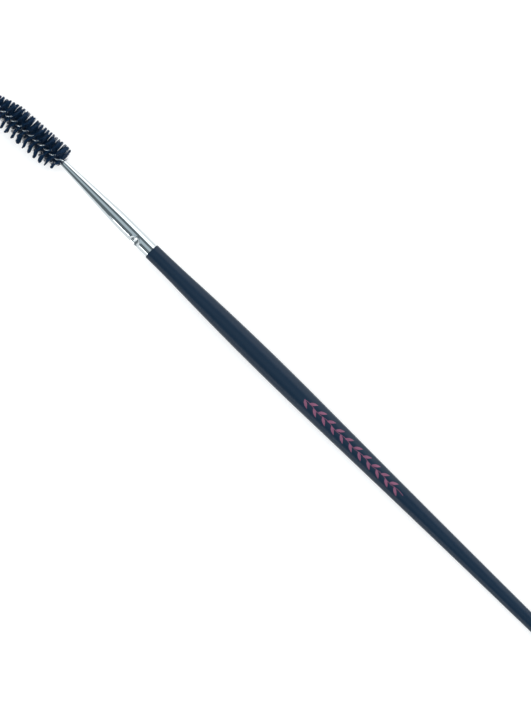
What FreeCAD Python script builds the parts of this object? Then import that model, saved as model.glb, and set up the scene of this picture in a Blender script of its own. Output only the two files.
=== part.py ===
"""Twisted-wire cosmetics brush on a long turned handle, lying on a table.

The head is a row of nylon bristles held between the two strands of a twisted wire.
The wire is one length folded like a hairpin. Its fold is glued into the nose of a
drawn aluminium ferrule, and the ferrule is crimped onto the tenon of a wooden handle.

Millimetres and degrees, +Z up. The handle runs along +X from the head to the tail.
The origin is on the table, under the centre of the whole brush.
"""
import FreeCAD, Part
import math
import os

import Sketcher
from FreeCAD import Placement, Rotation, Vector

# Driving dimensions
DIMENSIONS = [
    ("handle_length", 145.0, "shoulder to tail end"),
    ("shoulder_radius", 2.03, "handle at the ferrule"),
    ("shoulder_chamfer", 0.12, "broken edge of the shoulder"),
    ("belly_radius", 2.775, "thickest place of the handle"),
    ("belly_place", 40.8, "shoulder to thickest place"),
    ("belly_arc", 800.0, "long curve over the thickest place"),
    ("tail_radius", 1.65, "domed end of the handle"),
    ("tail_arc", 7900.0, "long hollow curve towards the tail"),
    ("ferrule_length", 30.0, "nose to handle shoulder"),
    ("ferrule_radius", 1.83, "outside of the straight end"),
    ("ferrule_wall", 0.15, "drawn tube"),
    ("ferrule_lean", 0.65, "the ferrule is crimped on crooked, to one side"),
    ("seat_gap", 0.01, "handle shoulder to the nearest edge of the leaning ferrule"),
    ("straight_length", 7.64, "handle shoulder to the start of the ferrule's curve"),
    ("easing_length", 2.9, "half of the curve between cone and straight end"),
    ("tenon_clearance", 0.02, "ferrule to tenon, all round"),
    ("tenon_gap", 0.4, "front of the tenon to the start of the ferrule's curve"),
    ("tenon_chamfer", 0.3, "lead on the front of the tenon"),
    ("crimp_place", 4.4, "shoulder to the middle of the dents"),
    ("crimp_length", 2.8, "one dent along the ferrule"),
    ("crimp_depth", 0.35, "one dent at its middle"),
    ("crimp_count", 2, "dents round the ferrule"),
    ("crimp_turn", 132.0, "first dent, turned about the handle from +Y towards +Z"),
    ("glue_clearance", 0.01, "ferrule to glue plug"),
    ("glue_recess", 0.2, "nose edge to the front of the plug"),
    ("glue_length", 8.0, "nose edge to the back of the plug"),
    ("strand_diameter", 0.48, "steel wire"),
    ("strand_flats", 5, "flats that stand for the round of the wire"),
    ("strand_gap", 0.12, "room for the fibres between the strands"),
    ("twist_pitch", 3.5, "one full turn, left-handed"),
    ("wire_insertion", 5.0, "nose edge to the start of the fold"),
    ("fold_pull", 0.95, "how far the wire runs on before it turns back"),
    ("bore_clearance", 0.02, "wire to glue plug"),
    ("nose_clearance", 0.07, "wire to the inside of the ferrule's nose"),
    ("head_bend", 3.1, "the head points off the handle's line, to the other side"),
    ("bend_depth", 0.8, "nose edge to the point where the two axes cross"),
    ("brush_gap", 0.2, "nose edge to the first bristles"),
    ("brush_length", 26.3, "first to last bristles"),
    ("brush_radius", 3.73, "bristle tips along the full part"),
    ("full_length", 16.0, "first bristles to the start of the taper"),
    ("point_radius", 1.3, "bristle tips at the free end"),
    ("heel_radius", 2.9, "bristle tips at the first row"),
    ("heel_length", 1.0, "rows that lead up to the full radius"),
    ("rows_per_turn", 16, "bristle rows in one turn of the wire"),
    ("row_clearance", 0.02, "strand to the bristles, on each side"),
    ("row_tip_width", 0.42, "a row at its tips"),
    ("wire_stub", 0.35, "cut wire past the last bristles"),
    ("overrun", 0.5, "how far a cutting form runs past the piece that it cuts"),
]

doc = FreeCAD.newDocument("cosmetics_brush")
sheet = doc.addObject("Spreadsheet::Sheet", "sizes")
for row, (alias, value, note) in enumerate(DIMENSIONS, start=1):
    sheet.set(f"A{row}", alias)
    sheet.set(f"B{row}", str(value))
    sheet.set(f"C{row}", note)
    sheet.setAlias(f"B{row}", alias)
doc.recompute()


def size(alias):
    """The value of one driving dimension."""
    return float(sheet.get(alias))


# Formulas that more than one piece follows
WIRE_REACH = "(sizes.strand_diameter + sizes.strand_gap / 2)"
CROOK = "(sizes.head_bend + sizes.ferrule_lean)"
NOSE_BORE = f"({WIRE_REACH} + sizes.bend_depth * tan({CROOK}) + sizes.nose_clearance)"
NOSE_RADIUS = f"({NOSE_BORE} + sizes.ferrule_wall)"
CONE_LENGTH = "(sizes.ferrule_length - sizes.straight_length - sizes.easing_length)"
CONE_SLOPE = f"((sizes.ferrule_radius - {NOSE_RADIUS}) / {CONE_LENGTH})"
FERRULE_SEAT = "(sizes.seat_gap + sizes.ferrule_radius * tan(sizes.ferrule_lean))"
TENON_LENGTH = "(sizes.straight_length - sizes.tenon_gap)"
TENON_INSET = "(sizes.ferrule_wall + sizes.tenon_clearance)"
DENT_ARC = "((sizes.crimp_length / 2)^2 + sizes.crimp_depth^2) / (2 * sizes.crimp_depth)"


def worked_out(formula):
    """The value of a formula that names cells of the sheet."""
    result = sheet.evalExpression(formula.replace("sizes.", ""))
    return float(getattr(result, "Value", result))


# Sketches and bodies

def new_body(label):
    """An empty body, with its name and label alike."""
    body = doc.addObject("PartDesign::Body", label)
    body.Label = label
    return body


def new_sketch(body, name, lean=Rotation()):
    """A sketch on the body's XY plane, which may lean: X runs along the brush, Y is a radius."""
    sketch = body.newObject("Sketcher::SketchObject", name)
    plane = next(f for f in body.Origin.OriginFeatures if f.Role == "XY_Plane")
    sketch.AttachmentSupport = (plane, [""])
    sketch.MapMode = "FlatFace"
    sketch.AttachmentOffset = Placement(Vector(0, 0, 0), lean)
    return sketch


def bind(sketch, formula, kind, *where):
    """Add one dimension to a sketch, tied to the sheet."""
    value = worked_out(formula)
    if kind == "Angle":
        value = math.radians(value)
        formula = f"({formula}) * 1 deg"
    index = sketch.addConstraint(Sketcher.Constraint(kind, *where, value))
    sketch.setExpression(f"Constraints[{index}]", formula)


def join(sketch, kind, *where):
    """Add one geometric constraint."""
    sketch.addConstraint(Sketcher.Constraint(kind, *where))


def line(start, end):
    """A straight edge between two (x, y) points."""
    return Part.LineSegment(Vector(*start, 0), Vector(*end, 0))


def arc(centre, radius, start, end):
    """The counter-clockwise arc about a centre from one (x, y) point to another."""
    circle = Part.Circle(Vector(*centre, 0), Vector(0, 0, 1), radius)
    angles = [math.atan2(y - centre[1], x - centre[0]) for x, y in (start, end)]
    return Part.ArcOfCircle(circle, *angles)


def revolve(body, sketch, name):
    """Turn a closed outline about the brush's axis."""
    turned = body.newObject("PartDesign::Revolution", name)
    turned.Profile = sketch
    turned.ReferenceAxis = (sketch, ["H_Axis"])
    turned.Angle = 360


# The handle is turned about its axis until its first dent faces the right way, and the
# ferrule leans level with the table, so the lean is turned back into the handle's own frame
ROLL = Rotation(Vector(1, 0, 0), size("crimp_turn"))
LEAN = Rotation(Vector(0, 0, 1), -size("ferrule_lean"))
LEAN_ON_HANDLE = ROLL.inverted().multiply(LEAN).multiply(ROLL)

# What a sketch calls the ends and centre of an edge, its own level axis and its origin
START, END, CENTRE = range(1, 4)
LEVEL_AXIS = -1
ORIGIN = (LEVEL_AXIS, START)


# Ferrule: the form of its outside, or of its hollow when inset by the wall

def ferrule_form(label, inset, overrun):
    """A turned body that follows the ferrule's outline, inset and run past both ends."""
    body = new_body(label)
    sketch = new_sketch(body, f"{label}_outline")
    slope = math.atan(worked_out(CONE_SLOPE))
    radius = size("ferrule_radius") - worked_out(inset)
    easing = size("easing_length") / math.tan(slope / 2)
    cone_end = -size("straight_length")
    centre = (cone_end, radius - easing)
    past = worked_out(overrun)
    seat = past - worked_out(FERRULE_SEAT)
    front = -size("ferrule_length") - past
    nose = worked_out(NOSE_RADIUS) - worked_out(inset) - past * math.tan(slope)
    cone_top = (centre[0] - easing * math.sin(slope), centre[1] + easing * math.cos(slope))
    sketch.addGeometry([
        line((front, 0), (front, nose)),
        line((front, nose), cone_top),
        arc(centre, easing, (cone_end, radius), cone_top),
        line((cone_end, radius), (seat, radius)),
        line((seat, radius), (seat, 0)),
        line((seat, 0), (front, 0)),
    ], False)
    face, cone, curve, straight, back, middle = range(6)
    join(sketch, "Coincident", face, END, cone, START)
    join(sketch, "Tangent", cone, END, curve, END)
    join(sketch, "Tangent", curve, START, straight, START)
    join(sketch, "Coincident", straight, END, back, START)
    join(sketch, "Coincident", back, END, middle, START)
    join(sketch, "Coincident", middle, END, face, START)
    join(sketch, "Vertical", face)
    join(sketch, "Vertical", back)
    join(sketch, "Horizontal", straight)
    join(sketch, "PointOnObject", face, START, LEVEL_AXIS)
    join(sketch, "PointOnObject", back, END, LEVEL_AXIS)
    bind(sketch, f"sizes.ferrule_length + {overrun}", "DistanceX", face, START, *ORIGIN)
    bind(sketch, f"{NOSE_RADIUS} - {inset} - {overrun} * {CONE_SLOPE}", "DistanceY", *ORIGIN, face, END)
    bind(sketch, f"atan({CONE_SLOPE})", "Angle", cone)
    bind(sketch, f"sizes.ferrule_radius - {inset}", "DistanceY", *ORIGIN, straight, END)
    bind(sketch, "sizes.straight_length", "DistanceX", straight, START, *ORIGIN)
    bind(sketch, f"{overrun} - {FERRULE_SEAT}", "DistanceX", *ORIGIN, back, END)
    revolve(body, sketch, f"{label}_turned")
    return body, sketch


def press_dents(body, outline, inset, lean=Rotation()):
    """Press the dents into a turned body: a round bar laid across the ferrule leaves each."""
    sketch = new_sketch(body, f"{body.Label}_bar", lean)
    height = size("ferrule_radius") - size("crimp_depth") + worked_out(DENT_ARC)
    radius = worked_out(DENT_ARC) + worked_out(inset)
    middle = Vector(-size("crimp_place"), height, 0)
    sketch.addGeometry(Part.Circle(middle, Vector(0, 0, 1), radius), False)
    bar = 0
    bind(sketch, f"{DENT_ARC} + {inset}", "Radius", bar)
    bind(sketch, "sizes.crimp_place", "DistanceX", bar, CENTRE, *ORIGIN)
    bind(sketch, f"sizes.ferrule_radius - sizes.crimp_depth + {DENT_ARC}",
         "DistanceY", *ORIGIN, bar, CENTRE)
    dent = body.newObject("PartDesign::Pocket", f"{body.Label}_dent")
    dent.Profile = sketch
    dent.Midplane = True
    dent.setExpression("Length", "2 * (sizes.ferrule_radius + sizes.overrun)")
    ring = body.newObject("PartDesign::PolarPattern", f"{body.Label}_dents")
    ring.Originals = [dent]
    ring.Axis = (outline, ["H_Axis"])
    ring.Angle = 360
    ring.setExpression("Occurrences", "sizes.crimp_count")
    body.Tip = ring


ferrule_outside, outside_outline = ferrule_form("ferrule_outside", "0", "0")
press_dents(ferrule_outside, outside_outline, "0")
ferrule_hollow, hollow_outline = ferrule_form("ferrule_hollow", "sizes.ferrule_wall", "sizes.overrun")
press_dents(ferrule_hollow, hollow_outline, "sizes.ferrule_wall")
ferrule = doc.addObject("Part::Cut", "ferrule")
ferrule.Base = ferrule_outside
ferrule.Tool = ferrule_hollow
ferrule.Label = "ferrule"


# Handle: turned wood, with a tenon that fills the straight end of the ferrule and leans with it

def tenon_outline(body):
    """The tenon's half section, from its chamfered front to inside the handle."""
    sketch = new_sketch(body, "tenon_outline", LEAN_ON_HANDLE)
    front_at = -worked_out(TENON_LENGTH)
    root = size("overrun")
    radius = size("ferrule_radius") - worked_out(TENON_INSET)
    chamfer = size("tenon_chamfer")
    sketch.addGeometry([
        line((front_at, 0), (front_at, radius - chamfer)),
        line((front_at, radius - chamfer), (front_at + chamfer, radius)),
        line((front_at + chamfer, radius), (root, radius)),
        line((root, radius), (root, 0)),
        line((root, 0), (front_at, 0)),
    ], False)
    front, lead, side, back, middle = range(5)
    for here, after in zip((front, lead, side, back, middle), (lead, side, back, middle, front)):
        join(sketch, "Coincident", here, END, after, START)
    join(sketch, "Vertical", front)
    join(sketch, "Horizontal", side)
    join(sketch, "Vertical", back)
    join(sketch, "PointOnObject", middle, START, LEVEL_AXIS)
    join(sketch, "PointOnObject", middle, END, LEVEL_AXIS)
    bind(sketch, TENON_LENGTH, "DistanceX", front, START, *ORIGIN)
    bind(sketch, "sizes.tenon_chamfer", "DistanceX", lead, START, lead, END)
    bind(sketch, "sizes.tenon_chamfer", "DistanceY", lead, START, lead, END)
    bind(sketch, f"sizes.ferrule_radius - {TENON_INSET}", "DistanceY", *ORIGIN, side, END)
    bind(sketch, "sizes.overrun", "DistanceX", *ORIGIN, side, END)
    return sketch


def handle_outline(body):
    """The handle's half section: shoulder, long arcs and a domed tail."""
    sketch = new_sketch(body, "handle_outline")
    broken = size("shoulder_chamfer")
    shoulder = size("shoulder_radius")
    dome = size("tail_radius")
    belly_arc = size("belly_arc")
    tail_arc = size("tail_arc")
    length = size("handle_length")

    belly_centre = (size("belly_place"), size("belly_radius") - belly_arc)
    dome_centre = (length - dome, 0)
    # The front arc leaves the shoulder level and meets the belly arc smoothly
    run = belly_centre[0] - broken
    drop = shoulder - belly_centre[1]
    front_arc = (belly_arc ** 2 - run ** 2 - drop ** 2) / (2 * (drop - belly_arc))
    front_centre = (broken, shoulder + front_arc)
    # The tail arc touches the belly arc and the dome
    tail_centre = above_both(belly_centre, belly_arc + tail_arc, dome_centre, dome + tail_arc)
    swell = between(belly_centre, front_centre, belly_arc)
    waist = between(belly_centre, tail_centre, belly_arc)
    halfway = between(belly_centre, [(a + b) / 2 for a, b in zip(swell, waist)], belly_arc)
    dome_start = between(dome_centre, tail_centre, dome)

    sketch.addGeometry([
        line((length, 0), (0, 0)),
        line((0, 0), (0, shoulder - broken)),
        line((0, shoulder - broken), (broken, shoulder)),
        arc(front_centre, front_arc, (broken, shoulder), swell),
        arc(belly_centre, belly_arc, halfway, swell),
        arc(belly_centre, belly_arc, waist, halfway),
        arc(tail_centre, tail_arc, waist, dome_start),
        arc(dome_centre, dome, (length, 0), dome_start),
    ], False)
    sketch.addGeometry([line(swell, halfway), line(halfway, waist)], True)
    middle, face, edge, first, rise, fall, tail, end, *chords = range(10)
    join(sketch, "Coincident", middle, END, face, START)
    join(sketch, "Coincident", face, END, edge, START)
    join(sketch, "Coincident", edge, END, first, START)
    join(sketch, "Tangent", first, END, rise, END)
    join(sketch, "Tangent", rise, START, fall, END)
    join(sketch, "Equal", rise, fall)
    join(sketch, "Tangent", fall, START, tail, START)
    for chord, half in zip(chords, (rise, fall)):
        join(sketch, "Coincident", chord, START, half, END)
        join(sketch, "Coincident", chord, END, half, START)
    join(sketch, "Equal", *chords)
    join(sketch, "Tangent", tail, END, end, END)
    join(sketch, "Coincident", end, START, middle, START)
    join(sketch, "PointOnObject", middle, START, LEVEL_AXIS)
    join(sketch, "Coincident", face, START, *ORIGIN)
    join(sketch, "PointOnObject", end, CENTRE, LEVEL_AXIS)
    join(sketch, "Vertical", face)
    join(sketch, "Vertical", first, CENTRE, first, START)
    bind(sketch, "sizes.shoulder_chamfer", "DistanceX", *ORIGIN, edge, END)
    bind(sketch, "sizes.shoulder_chamfer", "DistanceY", edge, START, edge, END)
    bind(sketch, "sizes.shoulder_radius", "DistanceY", *ORIGIN, edge, END)
    bind(sketch, "sizes.belly_place", "DistanceX", *ORIGIN, rise, CENTRE)
    bind(sketch, "sizes.belly_arc - sizes.belly_radius", "DistanceY", rise, CENTRE, *ORIGIN)
    bind(sketch, "sizes.belly_arc", "Radius", rise)
    bind(sketch, "sizes.tail_arc", "Radius", tail)
    bind(sketch, "sizes.tail_radius", "Radius", end)
    bind(sketch, "sizes.handle_length", "DistanceX", *ORIGIN, end, START)
    return sketch


def between(centre, other, radius):
    """The point of a circle that lies towards another centre."""
    reach = math.dist(centre, other)
    return tuple(a + (b - a) * radius / reach for a, b in zip(centre, other))


def above_both(first, first_reach, second, second_reach):
    """The point at two given distances from two points, above the line between them."""
    gap = math.dist(first, second)
    along = (gap ** 2 + first_reach ** 2 - second_reach ** 2) / (2 * gap)
    height = math.sqrt(first_reach ** 2 - along ** 2)
    ahead = ((second[0] - first[0]) / gap, (second[1] - first[1]) / gap)
    return (first[0] + along * ahead[0] - height * ahead[1],
            first[1] + along * ahead[1] + height * ahead[0])


handle = new_body("handle")
handle_sketch = handle_outline(handle)
revolve(handle, handle_sketch, "handle_turned")
tenon_sketch = tenon_outline(handle)
revolve(handle, tenon_sketch, "tenon_turned")
press_dents(handle, tenon_sketch, TENON_INSET, LEAN_ON_HANDLE)


# Head: its own axis runs along X, with its zero where it crosses the handle's axis

ALONG_X = Rotation(Vector(1, 1, 1), 120)
NOSE_AT = -size("bend_depth")
BRUSH_START = NOSE_AT - size("brush_gap")
WIRE_END = BRUSH_START - size("brush_length") - size("wire_stub")
FOLD_START = NOSE_AT + size("wire_insertion")
STRAND_OFFSET = (size("strand_diameter") + size("strand_gap")) / 2
ROW_STEP = size("twist_pitch") / size("rows_per_turn")


def row_angle(place):
    """The direction of the bristle row at a place along the wire. Two rows straddle the table."""
    turned = (place - BRUSH_START + ROW_STEP / 2) / size("twist_pitch")
    return -360 * turned - 90 + 180 / size("rows_per_turn")


def strand(side):
    """The middle line of one strand, from its cut end to the fold, a quarter turn off the rows."""
    helix = Part.makeHelix(size("twist_pitch"), FOLD_START - WIRE_END, STRAND_OFFSET, 0, True)
    helix.rotate(Vector(0, 0, 0), Vector(0, 0, 1), row_angle(WIRE_END) + 90 * side)
    helix.Placement = Placement(Vector(WIRE_END, 0, 0), ALONG_X).multiply(helix.Placement)
    return helix.Edges[0]


def twisted_wire():
    """One wire: up along a strand, round the hairpin fold and back along the other strand."""
    near, far = strand(1), strand(-1)
    ends = [edge.valueAt(edge.LastParameter) for edge in (near, far)]
    headings = [edge.tangentAt(edge.LastParameter) for edge in (near, far)]
    fold = Part.BezierCurve()
    fold.setPoles([ends[0], ends[0] + headings[0] * size("fold_pull"),
                   ends[1] + headings[1] * size("fold_pull"), ends[1]])
    path = Part.Wire([near, fold.toShape(), far])
    cut_end = near.valueAt(near.FirstParameter)
    round_wire = Part.makeCircle(size("strand_diameter") / 2, cut_end,
                                 near.tangentAt(near.FirstParameter))
    section = Part.makePolygon(round_wire.discretize(int(size("strand_flats")) + 1))
    return path.makePipeShell([section], True, False)


def reach(place):
    """The radius of the bristle tips at a place along the wire."""
    behind = BRUSH_START - place
    if behind < size("heel_length"):
        rise = behind / size("heel_length")
        return size("heel_radius") + (size("brush_radius") - size("heel_radius")) * math.sqrt(rise)
    taper = (behind - size("full_length")) / (size("brush_length") - size("full_length"))
    return size("brush_radius") - (size("brush_radius") - size("point_radius")) * max(taper, 0)


def bristle_row(place):
    """One row of fibres, gripped at its middle and fanning out to its tips on both sides."""
    radius = reach(place)
    root = size("strand_gap") / 2 - size("row_clearance")
    tip = size("row_tip_width") / 2
    corners = [(tip, radius), (root, 0), (tip, -radius), (-tip, -radius), (-root, 0), (-tip, radius)]
    outline = [Vector(place - ROW_STEP / 2, y, z) for y, z in corners]
    row_solid = Part.Face(Part.makePolygon(outline + outline[:1])).extrude(Vector(ROW_STEP, 0, 0))
    row_solid.rotate(Vector(0, 0, 0), Vector(1, 0, 0), row_angle(place) - 90)
    return row_solid


def bristle_spiral():
    """Every row of the head, side by side along the wire, as one solid."""
    count = int(size("brush_length") / ROW_STEP)
    rows = [bristle_row(BRUSH_START - (number + 0.5) * ROW_STEP) for number in range(count)]
    return rows[0].multiFuse(rows[1:]).Solids[0]


wire = doc.addObject("Part::Feature", "core_wire")
wire.Label = "core_wire"
wire.Shape = twisted_wire()
bristles = doc.addObject("Part::Feature", "bristles")
bristles.Label = "bristles"
bristles.Shape = bristle_spiral()


# Glue plug: fills the nose and holds the fold, with a bore along the crooked head

PLUG_RADIUS = f"{NOSE_BORE} - sizes.glue_clearance + {CONE_SLOPE}"
plug_form = doc.addObject("Part::Cone", "plug_form")
plug_form.setExpression("Radius1", f"{PLUG_RADIUS} * sizes.glue_recess")
plug_form.setExpression("Radius2", f"{PLUG_RADIUS} * sizes.glue_length")
plug_form.setExpression("Height", "sizes.glue_length - sizes.glue_recess")
plug_bore = doc.addObject("Part::Cylinder", "plug_bore")
plug_bore.setExpression("Radius", f"{WIRE_REACH} + sizes.bore_clearance")
plug_bore.setExpression("Height", "sizes.overrun + sizes.wire_insertion + sizes.fold_pull"
                                  " + sizes.bore_clearance")
glue_plug = doc.addObject("Part::Cut", "glue_plug")
glue_plug.Base = plug_form
glue_plug.Tool = plug_bore
glue_plug.Label = "glue_plug"
doc.recompute()


# Lying on the table: the head lies flat and the handle slopes down to its tail

def lying_slope(height):
    """The slope at which the handle, held at the crossing point, comes down on the table."""
    edges = [edge for edge in handle_sketch.Shape.Edges if edge.BoundBox.YMax > 0]
    outline = [point for edge in edges for point in edge.discretize(Number=40)]
    crossing = to_crossing.x
    slopes = []
    for point in outline:
        arm = math.hypot(point.x - crossing, point.y)
        if arm > height and point.x > 0:
            slopes.append(math.asin(height / arm) - math.atan2(point.y, point.x - crossing))
    return math.degrees(min(slopes))


to_crossing = LEAN.multVec(Vector(size("bend_depth") - size("ferrule_length"), 0, 0))
head_height = -bristles.Shape.BoundBox.ZMin
crossing_point = Vector(0, 0, head_height)
slope = Rotation(Vector(0, 1, 0), lying_slope(head_height))


def set_down(shift):
    """Place every piece along the axis of the head, the handle or the ferrule."""
    head_place = Placement(crossing_point + shift, Rotation(Vector(0, 0, 1), size("head_bend")))
    joint = crossing_point + shift - slope.multVec(to_crossing)
    ferrule_place = Placement(joint, slope.multiply(LEAN).multiply(ROLL))
    for piece in (wire, bristles):
        piece.Placement = head_place
    for piece in (ferrule_outside, ferrule_hollow):
        piece.Placement = ferrule_place
    handle.Placement = Placement(joint, slope.multiply(ROLL))
    nose_to_plug = Vector(size("glue_recess") - size("ferrule_length"), 0, 0)
    plug_form.Placement = ferrule_place.multiply(Placement(nose_to_plug, ALONG_X))
    plug_bore.Placement = head_place.multiply(Placement(Vector(NOSE_AT - size("overrun"), 0, 0), ALONG_X))
    doc.recompute()


pieces = [handle, ferrule, glue_plug, wire, bristles]
set_down(Vector(0, 0, 0))
whole = Part.makeCompound([piece.Shape for piece in pieces]).optimalBoundingBox(False, False)
set_down(Vector(-(whole.XMin + whole.XMax) / 2, -(whole.YMin + whole.YMax) / 2, -whole.ZMin))

for thing in doc.Objects:
    if {"Invalid", "Error"} & set(thing.State):
        raise RuntimeError(f"{thing.Label} failed: {thing.State}")
for piece in pieces:
    if piece.Shape.isNull() or not piece.Shape.isValid() or len(piece.Shape.Solids) != 1:
        raise RuntimeError(f"{piece.Label} has no single valid solid")

os.makedirs("parts", exist_ok=True)
for piece in pieces:
    piece.Shape.exportStep(f"parts/{piece.Label}.step")
    print(piece.Label, round(piece.Shape.Volume, 3), "mm3")
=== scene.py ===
import math

import bpy
import numpy as np
from mathutils import Matrix, Vector, noise


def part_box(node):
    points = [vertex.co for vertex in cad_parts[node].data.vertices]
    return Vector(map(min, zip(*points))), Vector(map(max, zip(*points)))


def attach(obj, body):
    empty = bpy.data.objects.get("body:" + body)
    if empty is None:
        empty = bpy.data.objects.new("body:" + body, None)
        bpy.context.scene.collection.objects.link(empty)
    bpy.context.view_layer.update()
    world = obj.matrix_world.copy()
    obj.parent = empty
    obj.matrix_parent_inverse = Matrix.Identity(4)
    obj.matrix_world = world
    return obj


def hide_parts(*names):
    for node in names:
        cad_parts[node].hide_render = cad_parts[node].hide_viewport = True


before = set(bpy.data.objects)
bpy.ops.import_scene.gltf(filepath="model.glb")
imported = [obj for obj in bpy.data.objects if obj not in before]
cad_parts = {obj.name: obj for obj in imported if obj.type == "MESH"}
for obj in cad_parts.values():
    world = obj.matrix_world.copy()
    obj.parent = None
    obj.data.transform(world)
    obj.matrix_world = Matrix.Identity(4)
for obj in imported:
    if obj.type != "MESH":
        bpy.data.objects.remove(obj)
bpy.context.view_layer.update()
MM = 0.001

# Ferrule
# A drawn aluminium tube, spun down to a cone at the nose and polished bright.
# Pliers pressed two dents through it into the handle's tenon, and raised a lip round each.

RIM_DEPTH = 0.12 * MM  # a leaning end face spreads over less than this


def ring_centre(node, side):
    """The middle of a tube's end face: side is -1 at its lowest x and 1 at its highest."""
    points = np.array([vertex.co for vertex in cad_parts[node].data.vertices])
    end = side * (side * points[:, 0]).max()
    rim = points[abs(points[:, 0] - end) < RIM_DEPTH]
    return Vector(np.unique(rim.round(7), axis=0).mean(axis=0))


nose = ring_centre("ferrule", -1)
ferrule_axis = (ring_centre("ferrule", 1) - nose).normalized()


def axis_frame(origin, along):
    """A matrix whose X runs along an axis and whose Y stays level."""
    level = Vector((0, 0, 1)).cross(along).normalized()
    up = along.cross(level)
    turn = Matrix((along, level, up)).transposed().to_4x4()
    return Matrix.Translation(origin) @ turn


FERRULE_LENGTH = 30.0 * MM
FERRULE_SEAT = 0.031 * MM  # the hair's breadth between the tube and the handle's shoulder
joint = nose + FERRULE_LENGTH * ferrule_axis
ferrule_frame = axis_frame(joint, ferrule_axis)


def smooth_piece(name, points, faces, place=Matrix()):
    """A mesh object from points in a piece's own frame, shaded smooth."""
    mesh = bpy.data.meshes.new(name)
    mesh.from_pydata([place @ Vector(p) for p in points], [], faces)
    mesh.validate()
    mesh.shade_smooth()
    piece = bpy.data.objects.new(name, mesh)
    bpy.context.scene.collection.objects.link(piece)
    return piece


def skin(rings, closed_start=False, closed_end=False):
    """Points and faces of a skin over rings that all have the same number of points."""
    count = len(rings[0])
    points = [point for ring in rings for point in ring]
    faces = []
    for level in range(len(rings) - 1):
        low, high = level * count, (level + 1) * count
        for here in range(count):
            after = (here + 1) % count
            faces.append((low + here, low + after, high + after, high + here))
    if closed_start:
        faces.append(tuple(reversed(range(count))))
    if closed_end:
        faces.append(tuple(range(len(points) - count, len(points))))
    return points, faces


def new_material(name):
    """A material with one Principled shader, and its node tree."""
    material = bpy.data.materials.new(name)
    material.use_nodes = True
    tree = material.node_tree
    return material, tree, tree.nodes["Principled BSDF"]


def fine_variation():
    """A group: uneven tone, streaks along X and a height for bump, in object space."""
    group = bpy.data.node_groups.new("fine_variation", "ShaderNodeTree")
    face = group.interface
    for name, default in (("Scale", 400.0), ("Stretch", 1.0)):
        face.new_socket(name, in_out="INPUT", socket_type="NodeSocketFloat").default_value = default
    for name in ("Dark", "Light"):
        face.new_socket(name, in_out="INPUT", socket_type="NodeSocketColor")
    for name in ("Low", "High"):
        face.new_socket(name, in_out="INPUT", socket_type="NodeSocketFloat")
    face.new_socket("Color", in_out="OUTPUT", socket_type="NodeSocketColor")
    face.new_socket("Roughness", in_out="OUTPUT", socket_type="NodeSocketFloat")
    face.new_socket("Height", in_out="OUTPUT", socket_type="NodeSocketFloat")
    nodes, links = group.nodes, group.links
    start, end = nodes.new("NodeGroupInput"), nodes.new("NodeGroupOutput")
    where = nodes.new("ShaderNodeTexCoord")
    split = nodes.new("ShaderNodeSeparateXYZ")
    squeeze = nodes.new("ShaderNodeMath")
    squeeze.operation = "DIVIDE"
    joined = nodes.new("ShaderNodeCombineXYZ")
    grain = nodes.new("ShaderNodeTexNoise")
    grain.inputs["Detail"].default_value = 3
    tone = nodes.new("ShaderNodeMix")
    tone.data_type = "RGBA"
    shine = nodes.new("ShaderNodeMapRange")
    links.new(where.outputs["Object"], split.inputs[0])
    links.new(split.outputs["X"], squeeze.inputs[0])
    links.new(start.outputs["Stretch"], squeeze.inputs[1])
    links.new(squeeze.outputs[0], joined.inputs["X"])
    links.new(split.outputs["Y"], joined.inputs["Y"])
    links.new(split.outputs["Z"], joined.inputs["Z"])
    links.new(joined.outputs[0], grain.inputs["Vector"])
    links.new(start.outputs["Scale"], grain.inputs["Scale"])
    links.new(grain.outputs["Fac"], tone.inputs["Factor"])
    links.new(start.outputs["Dark"], tone.inputs[6])
    links.new(start.outputs["Light"], tone.inputs[7])
    links.new(grain.outputs["Fac"], shine.inputs["Value"])
    links.new(start.outputs["Low"], shine.inputs["To Min"])
    links.new(start.outputs["High"], shine.inputs["To Max"])
    links.new(tone.outputs[2], end.inputs["Color"])
    links.new(shine.outputs["Result"], end.inputs["Roughness"])
    links.new(grain.outputs["Fac"], end.inputs["Height"])
    return group


VARIATION = fine_variation()


def vary(tree, shader, dark, light, roughness, scale, stretch=1.0, bump=0.0):
    """Give a shader an uneven colour, an uneven gloss and a fine bump from the shared group."""
    group = tree.nodes.new("ShaderNodeGroup")
    group.node_tree = VARIATION
    group.inputs["Scale"].default_value = scale
    group.inputs["Stretch"].default_value = stretch
    group.inputs["Dark"].default_value = (*dark, 1)
    group.inputs["Light"].default_value = (*light, 1)
    group.inputs["Low"].default_value = roughness[0]
    group.inputs["High"].default_value = roughness[1]
    tree.links.new(group.outputs["Color"], shader.inputs["Base Color"])
    tree.links.new(group.outputs["Roughness"], shader.inputs["Roughness"])
    if bump:
        relief = tree.nodes.new("ShaderNodeBump")
        relief.inputs["Strength"].default_value = 1.0
        relief.inputs["Distance"].default_value = bump
        tree.links.new(group.outputs["Height"], relief.inputs["Height"])
        tree.links.new(relief.outputs["Normal"], shader.inputs["Normal"])


FERRULE_RADIUS = 1.83 * MM
FERRULE_WALL = 0.15 * MM
NOSE_RADIUS = 0.8124 * MM
CONE_END = -10.54 * MM
CONE_SLOPE = (FERRULE_RADIUS - NOSE_RADIUS) / (FERRULE_LENGTH + CONE_END)
EASING = 2.9 * MM
DENT_PLACE, DENT_LENGTH, DENT_DEPTH = -4.4 * MM, 2.8 * MM, 0.35 * MM
DENT_TURN = math.radians(132)
DENT_ARC = ((DENT_LENGTH / 2) ** 2 + DENT_DEPTH ** 2) / (2 * DENT_DEPTH)
DENT_EDGE = 0.05 * MM  # how softly the wall bends at a dent's edge
LIP, LIP_WIDTH = 0.07 * MM, 0.09 * MM
LIP_OUTSIDE = 0.06 * MM


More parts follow.
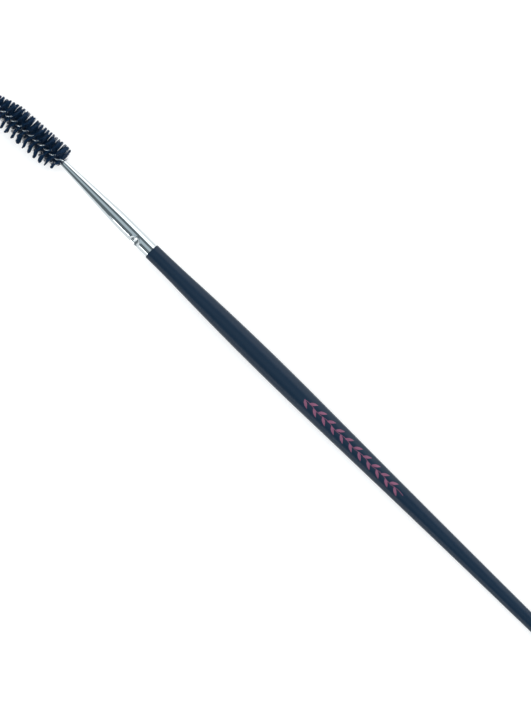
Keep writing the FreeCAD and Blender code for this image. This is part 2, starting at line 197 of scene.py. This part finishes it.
def ferrule_radius(x):
    """The tube's outside radius at a distance behind (-) the handle's shoulder."""
    cone = NOSE_RADIUS + (x + FERRULE_LENGTH) * CONE_SLOPE
    past = (x - CONE_END + EASING) / (2 * EASING)
    if past <= 0:
        return cone
    if past >= 1:
        return FERRULE_RADIUS
    return cone - CONE_SLOPE * EASING * past ** 2


def pressed(x, radius, angle, inset):
    """The point of the tube's wall at an angle, pushed in where the pliers bit."""
    sag = DENT_ARC - math.sqrt(max(DENT_ARC ** 2 - (x - DENT_PLACE) ** 2, 0))
    floor = FERRULE_RADIUS - DENT_DEPTH + sag - inset
    y, z = radius * math.cos(angle), radius * math.sin(angle)
    for turn in (DENT_TURN, DENT_TURN + math.pi):
        up = (math.cos(turn), math.sin(turn))
        height = y * up[0] + z * up[1]
        over = height - floor
        push = max(over, 0)
        if abs(over) < 9 * DENT_EDGE:
            push = 0.5 * (over + math.sqrt(over * over + DENT_EDGE * DENT_EDGE))
        if abs(x - DENT_PLACE) < DENT_LENGTH:
            rim = math.exp(-((over + LIP_OUTSIDE) / LIP_WIDTH) ** 2)
            lift = LIP * rim * math.exp(-((x - DENT_PLACE) / (0.75 * DENT_LENGTH)) ** 4)
            y += (lift - push) * up[0]
            z += (lift - push) * up[1]
    return (x, y, z)


def tube_rings(stations, inset, sides):
    """Rings along the ferrule's outside, or its inside when inset by the wall."""
    rings = []
    for x in stations:
        radius = ferrule_radius(x) - inset
        rings.append([pressed(x, radius, 2 * math.pi * k / sides, inset) for k in range(sides)])
    return rings


FERRULE_SIDES = 144
NOSE_EDGE = 0.03 * MM
# The rings stand closest where the dents are
stations = np.concatenate([
    np.linspace(-FERRULE_LENGTH, -7.2 * MM, 90),
    np.linspace(-7.1 * MM, -1.7 * MM, 90),
    np.linspace(-1.6 * MM, -FERRULE_SEAT, 12),
])
outer = tube_rings(stations, 0, FERRULE_SIDES)
outer[0] = tube_rings([stations[0]], NOSE_EDGE, FERRULE_SIDES)[0]
outer.insert(1, tube_rings([stations[0] + NOSE_EDGE], 0, FERRULE_SIDES)[0])
inner = tube_rings(stations[::-1], FERRULE_WALL, FERRULE_SIDES)
tube_points, tube_faces = skin(outer + inner + outer[:1])
ferrule = smooth_piece("ferrule_shell", tube_points, tube_faces, ferrule_frame)
ferrule.data.set_sharp_from_angle(angle=math.radians(50))

polished, tree, shader = new_material("polished_aluminium")
shader.inputs["Metallic"].default_value = 1.0
vary(tree, shader, (0.51, 0.555, 0.575), (0.57, 0.605, 0.625), (0.06, 0.11), 900, 30, 0.0006 * MM)
ferrule.data.materials.append(polished)
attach(ferrule, "root")
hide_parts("ferrule")

# Glue plug
# Epoxy run into the nose of the ferrule round the folded end of the wire.
# It cured with a dull amber face that shows only as a thin ring round the wire.

epoxy, tree, shader = new_material("cured_epoxy")
shader.inputs["Coat Weight"].default_value = 0.3
vary(tree, shader, (0.16, 0.13, 0.09), (0.32, 0.27, 0.19), (0.35, 0.55), 1500, 1.0, 0.01 * MM)
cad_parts["glue_plug"].data.materials.clear()
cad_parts["glue_plug"].data.materials.append(epoxy)

# Core wire
# One steel wire, folded like a hairpin and twisted left-handed round the fibres.
# Its fold sits in the glue, and both ends are cut off square past the last bristles.

HEAD_BEND = math.radians(3.1)
BEND_DEPTH = 0.8 * MM
PITCH = 3.5 * MM
STRAND_RADIUS = 0.24 * MM
STRAND_OFFSET = 0.30 * MM
STEPS_PER_TURN = 26
ROWS_PER_TURN = 16
brush_low, brush_high = (Vector(corner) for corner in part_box("bristles"))
crossing = nose + BEND_DEPTH * ferrule_axis
crossing.z = (brush_low.z + brush_high.z) / 2
head_frame = Matrix.Translation(crossing) @ Matrix.Rotation(HEAD_BEND, 4, "Z")
HEEL_GAP = 0.2 * MM
BRUSH_START = -BEND_DEPTH - HEEL_GAP
BRUSH_LENGTH = 26.3 * MM
WIRE_STUB = 0.35 * MM
WIRE_END = BRUSH_START - BRUSH_LENGTH - WIRE_STUB
FOLD_START, FOLD_PULL, FOLD_STEPS = 4.0 * MM, 0.95 * MM, 13


def row_angle(x):
    """The direction of the fibres at a place along the head's axis, as in the solids."""
    step = PITCH / ROWS_PER_TURN
    turned = (x - BRUSH_START + step / 2) / PITCH
    return -2 * math.pi * turned - math.pi / 2 + math.pi / ROWS_PER_TURN


def wire_path():
    """The middle line of the wire: one strand, the fold, and the other strand back."""
    count = int((FOLD_START - WIRE_END) / PITCH * STEPS_PER_TURN)
    xs = np.linspace(WIRE_END, FOLD_START, count).tolist()
    there, back = [], []
    for x in xs:
        angle = row_angle(x) + math.pi / 2
        spot = Vector((0, math.cos(angle), math.sin(angle))) * STRAND_OFFSET
        there.append(Vector((x, 0, 0)) + spot)
        back.append(Vector((x, 0, 0)) - spot)
    ends = (there[-1], back[-1])
    ahead = [(strand[-1] - strand[-2]).normalized() * FOLD_PULL for strand in (there, back)]
    fold = []
    for step in range(1, FOLD_STEPS):
        t = step / FOLD_STEPS
        fold.append((1 - t) ** 3 * ends[0] + 3 * (1 - t) ** 2 * t * (ends[0] + ahead[0])
                    + 3 * (1 - t) * t ** 2 * (ends[1] + ahead[1]) + t ** 3 * ends[1])
    return there + fold + back[::-1]


def round_tube(path, radius, sides):
    """Rings of a round wire that follows a path with as little twist as can be."""
    rings = []
    side = None
    for here, point in enumerate(path):
        ahead = (path[min(here + 1, len(path) - 1)] - path[max(here - 1, 0)]).normalized()
        if side is None:
            side = ahead.orthogonal().normalized()
        side = (side - side.dot(ahead) * ahead).normalized()
        other = ahead.cross(side)
        rings.append([point + radius * (math.cos(a) * side + math.sin(a) * other)
                      for a in (2 * math.pi * k / sides for k in range(sides))])
    return rings


wire_points, wire_faces = skin(round_tube(wire_path(), STRAND_RADIUS, 14), True, True)
wire = smooth_piece("twisted_wire", wire_points, wire_faces, head_frame)
wire.data.set_sharp_from_angle(angle=math.radians(50))

steel, tree, shader = new_material("drawn_steel")
shader.inputs["Metallic"].default_value = 1.0
vary(tree, shader, (0.74, 0.80, 0.84), (0.90, 0.94, 0.96), (0.24, 0.40), 2600, 6.0, 0.002 * MM)
wire.data.materials.append(steel)
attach(wire, "root")
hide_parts("core_wire")

# Bristles
# Fine black nylon fibres, laid side by side in the open hairpin before it was twisted.
# The twist fans them into a left-handed spiral, trimmed to a cylinder with a tapered tip.

FIBRE_RADIUS = 0.048 * MM
FULL_REACH = 3.84 * MM
HEEL_REACH = 3.0 * MM
POINT_REACH = 1.3 * MM
HEEL_LENGTH = 1.0 * MM
FULL_LENGTH = 16.0 * MM
FIBRES = 3900
FIBRE_PLACES = (0.03, 0.3, 0.62, 1.0)  # where a fibre has its rings, as shares of its reach
FIBRE_TIP = 0.72  # how thick a fibre is at its tip, as a share of the rest
ROOT_SCATTER, TIP_SCATTER, UNEVEN_TRIM = 0.035 * MM, 0.04 * MM, 0.03
CLUMP_LEAN, FINE_LEAN = 0.55 * MM, 0.12 * MM
FIBRE_SWEEP, FIBRE_CURL = 0.35 * MM, 0.05 * MM
TUFT_SHARE, SPLIT_SHARE = 0.82, 0.95  # how much of the way into its tuft a tip moves
HEEL_CUT, HEEL_CUT_LENGTH = 0.26, 4.5 * MM
TABLE_GAP = 0.09 * MM
CLUMP_SEED = 1796125954
rng = np.random.default_rng(7)
# Unless it is told where to start, the noise starts from the clock and the clumps change each run
noise.seed_set(CLUMP_SEED)


def fibre_reach(x):
    """How far the trimmed fibres reach from the wire at a place along the head."""
    behind = BRUSH_START - x
    if behind < HEEL_LENGTH:
        return HEEL_REACH + (FULL_REACH - HEEL_REACH) * math.sqrt(max(behind, 0) / HEEL_LENGTH)
    taper = max((behind - FULL_LENGTH) / (BRUSH_LENGTH - FULL_LENGTH), 0)
    return FULL_REACH - (FULL_REACH - POINT_REACH) * taper


def between(low, high, value):
    """A soft step from 0 at low to 1 at high."""
    share = min(max((value - low) / (high - low), 0), 1)
    return share * share * (3 - 2 * share)


def disorder(turn):
    """How far fibres of a direction stray round the wire: least from straight up to -Y."""
    direction = math.degrees(turn) % 360
    return float(np.interp(direction, (0, 60, 90, 120, 180, 220, 255, 360),
                           (0.6, 0.5, 0.16, 0.1, 0.14, 0.25, 0.55, 0.6)))


def tuft_pull(wound, turn):
    """How far the tip of a fibre moves along the head into the tuft of its row."""
    # Towards -Y each row ends in one tuft, and towards +Y its two faces part into two
    side = 1 if math.cos(turn) > 0 else -1
    past = (turn + math.pi * (side < 0) + math.pi / 2) % math.pi - math.pi / 2
    along = -(past - turn + wound) * PITCH / (2 * math.pi)
    if side < 0:
        return -TUFT_SHARE * along * (1 - between(0.9, 1.2, abs(past)))
    centre = math.copysign(PITCH / 8, along)
    return SPLIT_SHARE * (centre - along) * (1 - between(0.9, 1.4, abs(past)))


def splayed(turn, chance):
    """The direction of a fibre, which is turned towards -Y if it was pressed under the head."""
    before, after = -0.75, 0.5
    past = 1.5 * math.pi - turn % (2 * math.pi)
    if before < past < after and (past > 0 or chance < 0.7):
        past = 0.12 + 0.38 * ((past - before) / (after - before)) ** 0.6
    return 1.5 * math.pi - past


def fibre_rings(x, turn, reach, lean, sweep, curl):
    """Rings of one three-sided fibre that leaves the wire at x and leans along the head."""
    out = Vector((0, math.cos(turn), math.sin(turn)))
    round_ = Vector((0, -math.sin(turn), math.cos(turn)))
    rings = []
    for share in FIBRE_PLACES:
        bend = share ** 1.5
        middle = (Vector((x + lean * bend, 0, 0)) + out * reach * share
                  + round_ * (sweep * bend + curl * math.sin(math.pi * share)))
        thick = FIBRE_RADIUS * (1.0 if share < 1 else FIBRE_TIP)
        rings.append([middle + thick * (math.cos(a) * round_ + Vector((math.sin(a), 0, 0)))
                      for a in (0, 2 * math.pi / 3, 4 * math.pi / 3)])
    return rings


fibre_points, fibre_faces = [], []
for number in range(FIBRES):
    place = BRUSH_START - BRUSH_LENGTH * (number + 0.5) / FIBRES
    place += rng.normal(0, ROOT_SCATTER)
    place = min(max(place, BRUSH_START - BRUSH_LENGTH), BRUSH_START)
    for half in (0, math.pi):
        wound = row_angle(place) + half
        # Neighbours stick together in small clumps that lean this way and that
        clump = noise.noise_vector(Vector((wound * 0.9, half * 3.0, 2.0)))
        fine = noise.noise_vector(Vector((wound * 4.5, half * 5.0, 9.0)))
        stray = disorder(wound)
        off = rng.uniform(-stray, stray) * (1 if rng.random() < 0.75 else 0.3)
        strayed = wound + 0.08 * fine.x + off
        turn = splayed(strayed, rng.random())
        down, aside = -math.sin(turn), -math.cos(turn)
        lean = tuft_pull(wound, strayed)
        lean += CLUMP_LEAN * clump.y + FINE_LEAN * fine.y + rng.normal(0, TIP_SCATTER)
        # Those beneath the wire were pushed back towards the tip, which closes the rows
        beneath = between(0.5, 0.8, down) * between(-0.2, 0.1, aside)
        lean -= rng.uniform(0.3, 0.52) * fibre_reach(place) * beneath
        sweep = FIBRE_SWEEP * fine.z
        trim = 1 + 0.02 * fine.z - abs(rng.normal(0, UNEVEN_TRIM))
        reach = trim * fibre_reach(place + 0.6 * lean)
        # At the heel the fibres towards -Y were cut back a little further
        at_heel = between(-HEEL_CUT_LENGTH, 0, place - BRUSH_START) * between(0.3, 0.8, aside)
        reach *= 1 - HEEL_CUT * at_heel
        # Where the head rests on the table its fibres go no further than the table top
        if down > 0:
            reach = min(reach, (crossing.z - TABLE_GAP) / down)
        curl = rng.normal(0, FIBRE_CURL)
        rings = fibre_rings(float(place), float(turn), float(reach), float(lean), sweep, float(curl))
        points, faces = skin(rings, False, True)
        base = len(fibre_points)
        fibre_points += points
        fibre_faces += [tuple(base + index for index in face) for face in faces]
bristles = smooth_piece("nylon_fibres", fibre_points, fibre_faces, head_frame)

nylon, tree, shader = new_material("black_nylon")
shader.inputs["Specular IOR Level"].default_value = 0.12
vary(tree, shader, (0.004, 0.019, 0.050), (0.013, 0.042, 0.098), (0.4, 0.6), 700)
bristles.data.materials.append(nylon)
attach(bristles, "root")
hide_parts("bristles")

# Handle
# Turned beech under several coats of dark blue satin lacquer, with a crisp shoulder.
# It swells a little past the ferrule and then thins in a long hollow curve to the tail.

TAIL_RADIUS = 1.65 * MM
SHOULDER_RADIUS = 2.03 * MM
SHOULDER_ROUND = 0.12 * MM
BELLY_RADIUS, BELLY_PLACE, BELLY_ARC = 2.775 * MM, 40.8 * MM, 800 * MM
TAIL_ARC = 7900 * MM
tail_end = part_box("handle")[1][0]
tail_centre = Vector((tail_end - TAIL_RADIUS, joint.y, TAIL_RADIUS))
handle_axis = (tail_centre - joint).normalized()
handle_frame = axis_frame(joint, handle_axis)
HANDLE_LENGTH = (tail_centre - joint).length + TAIL_RADIUS
TENON_LENGTH, TENON_CHAMFER = 7.24 * MM, 0.3 * MM
TENON_INSET = FERRULE_WALL + 0.02 * MM
TENON_RADIUS = FERRULE_RADIUS - TENON_INSET
DENT_SPAN = 1.6 * MM  # the tenon's rings stand close this far on each side of a dent
DOME_PLACE = HANDLE_LENGTH - TAIL_RADIUS
TIP_FLAT = 0.04 * MM
HANDLE_SIDES = 128


def handle_curves():
    """The curve of the front, and where the belly's arc hands over to the tail's arc."""
    drop = BELLY_RADIUS - SHOULDER_RADIUS
    front_arc = (BELLY_PLACE ** 2 / (2 * drop)) - BELLY_ARC
    swell = BELLY_PLACE * front_arc / (front_arc + BELLY_ARC)
    # Where the two arcs touch, their slopes and radii agree
    low, high = BELLY_PLACE, DOME_PLACE
    for _ in range(60):
        waist = (low + high) / 2
        slope = -(waist - BELLY_PLACE) / BELLY_ARC
        radius = BELLY_RADIUS - (waist - BELLY_PLACE) ** 2 / (2 * BELLY_ARC)
        run = DOME_PLACE - waist
        end = radius + slope * run + run ** 2 / (2 * TAIL_ARC)
        low, high = (waist, high) if end > TAIL_RADIUS else (low, waist)
    return front_arc, swell, waist


FRONT_ARC, SWELL, WAIST = handle_curves()


def handle_radius(x):
    """The lacquered handle's radius at a distance past its shoulder."""
    if x < SHOULDER_ROUND:
        rest = SHOULDER_ROUND - x
        return SHOULDER_RADIUS - SHOULDER_ROUND + math.sqrt(max(SHOULDER_ROUND ** 2 - rest ** 2, 0))
    if x < SWELL:
        return SHOULDER_RADIUS + x ** 2 / (2 * FRONT_ARC)
    if x < WAIST:
        return BELLY_RADIUS - (x - BELLY_PLACE) ** 2 / (2 * BELLY_ARC)
    if x < DOME_PLACE:
        slope = -(WAIST - BELLY_PLACE) / BELLY_ARC
        start = BELLY_RADIUS - (WAIST - BELLY_PLACE) ** 2 / (2 * BELLY_ARC)
        return start + slope * (x - WAIST) + (x - WAIST) ** 2 / (2 * TAIL_ARC)
    return math.sqrt(max(TAIL_RADIUS ** 2 - (x - DOME_PLACE) ** 2, 0))


def handle_ring(x, radius):
    """One ring of the turned handle."""
    return [(x, radius * math.cos(a), radius * math.sin(a))
            for a in (2 * math.pi * k / HANDLE_SIDES for k in range(HANDLE_SIDES))]


def handle_rings():
    """Rings from the tenon's front to the tip of the domed tail."""
    tenon = [handle_ring(-TENON_LENGTH, TENON_RADIUS - TENON_CHAMFER)]
    for x in (-TENON_LENGTH + TENON_CHAMFER, DENT_PLACE - DENT_SPAN - 0.1 * MM):
        tenon.append(handle_ring(x, TENON_RADIUS))
    for x in np.linspace(DENT_PLACE - DENT_SPAN, DENT_PLACE + DENT_SPAN, 24).tolist():
        tenon.append([pressed(x, TENON_RADIUS, 2 * math.pi * k / HANDLE_SIDES, TENON_INSET)
                      for k in range(HANDLE_SIDES)])
    # The tenon leans with the ferrule that is pressed onto it
    lean = handle_frame.inverted() @ ferrule_frame
    rings = [[lean @ Vector(point) for point in ring] for ring in tenon]
    rings.append(handle_ring(0, TENON_RADIUS))
    curve = SHOULDER_ROUND * (1 - np.cos(np.linspace(0, math.pi / 2, 8)))
    body = np.linspace(SHOULDER_ROUND * 2, DOME_PLACE, 180)
    dome = DOME_PLACE + TAIL_RADIUS * np.sin(np.linspace(0, math.pi / 2, 20)[1:-1])
    for x in np.concatenate([curve, body, dome]):
        rings.append(handle_ring(x, handle_radius(x)))
    # A speck of a flat closes the dome
    rings.append(handle_ring(HANDLE_LENGTH - 0.0005 * MM, TIP_FLAT))
    return rings


handle_points, handle_faces = skin(handle_rings(), True, True)
handle = smooth_piece("lacquered_handle", handle_points, handle_faces, handle_frame)
handle.data.set_sharp_from_angle(angle=math.radians(40))

lacquer, tree, shader = new_material("satin_lacquer")
shader.inputs["Specular IOR Level"].default_value = 0.18
vary(tree, shader, (0.0036, 0.0145, 0.032), (0.0052, 0.0190, 0.0405), (0.34, 0.42),
     500, 8.0, 0.002 * MM)
handle.data.materials.append(lacquer)
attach(handle, "root")
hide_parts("handle")

# Sprig
# A plain leaf sprig, printed in dusky pink on the lacquer by a soft pad.
# The film of ink is thin and a little worn, so the lacquer shows through in places.

SPRIG_START, SPRIG_END = 51.0 * MM, 84.0 * MM
SPRIG_STEM = 0.11 * MM
LEAF_LENGTH, LEAF_WIDTH = 2.4 * MM, 0.72 * MM
LEAF_STEP = 3.0 * MM
INK = 0.012 * MM
SPRIG_TURN = math.radians(84)
LEAF_TILT = math.radians(34)


def on_handle(along, across):
    """A point of the ink film: across is measured round the handle from the sprig's stem."""
    radius = handle_radius(along)
    angle = SPRIG_TURN - across / radius
    return (along, (radius + INK) * math.cos(angle), (radius + INK) * math.sin(angle))


def leaf(along, side):
    """Rows of three points across a leaf that grows from the stem, slanting towards the tail."""
    tilt = LEAF_TILT * side
    rows = []
    for t in np.linspace(0.03, 0.97, 12).tolist():
        x, half = LEAF_LENGTH * t, LEAF_WIDTH * math.sin(math.pi * t ** 0.8) / 2
        rows.append([(along + x * math.cos(tilt) - y * math.sin(tilt),
                      x * math.sin(tilt) + y * math.cos(tilt)) for y in (half, 0, -half)])
    return rows


sprig_points, sprig_faces = [], []
stem = np.linspace(SPRIG_START, SPRIG_END, 90)
for number, along in enumerate(stem):
    sway = 0.16 * MM * math.sin((along - SPRIG_START) / LEAF_STEP * math.pi)
    sprig_points += [on_handle(along, sway + edge) for edge in (-SPRIG_STEM / 2, SPRIG_STEM / 2)]
    if number:
        last = len(sprig_points) - 4
        sprig_faces.append((last, last + 2, last + 3, last + 1))
for number in range(int((SPRIG_END - SPRIG_START - LEAF_LENGTH) / LEAF_STEP * 2) + 1):
    along = SPRIG_START + number * LEAF_STEP / 2
    base = len(sprig_points)
    rows = leaf(along, 1 if number % 2 else -1)
    sprig_points += [on_handle(x, y) for row in rows for x, y in row]
    for first in range(base, base + 3 * (len(rows) - 1), 3):
        sprig_faces += [(first, first + 1, first + 4, first + 3),
                        (first + 1, first + 2, first + 5, first + 4)]
sprig = smooth_piece("printed_sprig", sprig_points, sprig_faces, handle_frame)

ink, tree, shader = new_material("pink_ink")
vary(tree, shader, (0.11, 0.036, 0.072), (0.23, 0.068, 0.135), (0.4, 0.6), 2500)
sprig.data.materials.append(ink)
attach(sprig, "root")

# Table, lamps and camera
# A white table under long soft lamps: one each side, a dim strip above and a wide even fill.
# The camera looks straight down, turned so that the brush runs from upper left to lower right.

TABLE_SIZE = 6.0
corners = [(x * TABLE_SIZE, y * TABLE_SIZE, 0) for x, y in ((-1, -1), (1, -1), (1, 1), (-1, 1))]
table = smooth_piece("table", corners, [(0, 1, 2, 3)])
pale, tree, shader = new_material("pale_table")
vary(tree, shader, (0.50, 0.50, 0.50), (0.54, 0.54, 0.54), (0.7, 0.8), 60)
ray = tree.nodes.new("ShaderNodeLightPath")
seen = tree.nodes.new("ShaderNodeMath")
seen.operation = "MAXIMUM"
seen_through = tree.nodes.new("ShaderNodeMath")
seen_through.operation = "MAXIMUM"
glow = tree.nodes.new("ShaderNodeMix")
glow.data_type = "RGBA"
glow.inputs[6].default_value = (0, 0, 0, 1)
glow.inputs[7].default_value = (0.52, 0.52, 0.52, 1)
tree.links.new(ray.outputs["Is Camera Ray"], seen.inputs[0])
tree.links.new(ray.outputs["Is Glossy Ray"], seen.inputs[1])
tree.links.new(seen.outputs[0], seen_through.inputs[0])
tree.links.new(ray.outputs["Is Transmission Ray"], seen_through.inputs[1])
tree.links.new(seen_through.outputs[0], glow.inputs["Factor"])
tree.links.new(glow.outputs[2], shader.inputs["Emission Color"])
shader.inputs["Emission Strength"].default_value = 1.0
table.data.materials.append(pale)

world = bpy.data.worlds.new("studio")
bpy.context.scene.world = world
world.use_nodes = True
world.node_tree.nodes["Background"].inputs["Color"].default_value = (0.78, 0.93, 1.0, 1)
world.node_tree.nodes["Background"].inputs["Strength"].default_value = 0.24


def soft_lamp(name, place, faces, size, radiance, colour):
    """A rectangular lamp, long along the brush, that faces a point with an even brightness."""
    lamp = bpy.data.lights.new(name, "AREA")
    lamp.shape = "RECTANGLE"
    lamp.size, lamp.size_y = size
    lamp.energy = radiance * math.pi * size[0] * size[1]
    lamp.color = colour
    holder = bpy.data.objects.new(name, lamp)
    holder.location = place
    across, away = Vector((1, 0, 0)), (Vector(place) - Vector(faces)).normalized()
    holder.rotation_euler = Matrix((across, away.cross(across), away)).transposed().to_euler()
    bpy.context.scene.collection.objects.link(holder)
    return holder


WHITE, COOL = (1.0, 1.0, 1.0), (0.82, 0.94, 1.0)
soft_lamp("lamp_right", (0.02, 0.42, 0.18), (0.02, 0, 0.18), (0.90, 0.36), 2.1, WHITE)
soft_lamp("lamp_left", (0.17, -0.42, 0.09), (0.17, 0, 0.09), (0.62, 0.076), 5.5, WHITE)
soft_lamp("strip_above", (-0.02, -0.07, 0.62), (-0.02, -0.07, 0), (1.0, 0.44), 0.58, COOL)
fill = soft_lamp("fill_above", (0.0, 0.1, 1.2), (0.0, 0.1, 0), (1.6, 1.6), 2.0, WHITE)
fill.visible_glossy = False

VIEW_TURN = math.radians(44.34)
VIEW_HEIGHT = 0.35
PICTURE_LONG_SIDE = 170.2 * MM
AIM = joint + Vector((36.9 * MM, 1.4 * MM, 0))
camera_data = bpy.data.cameras.new("camera")
camera_data.sensor_width = 36
camera_data.lens = camera_data.sensor_width * VIEW_HEIGHT / PICTURE_LONG_SIDE
camera_data.clip_start = 0.01
camera = bpy.data.objects.new("camera", camera_data)
camera.location = (AIM.x, AIM.y, joint.z + VIEW_HEIGHT)
camera.rotation_euler = (0, 0, VIEW_TURN)
bpy.context.scene.collection.objects.link(camera)
bpy.context.scene.camera = camera
bpy.context.scene.view_settings.view_transform = "Standard"
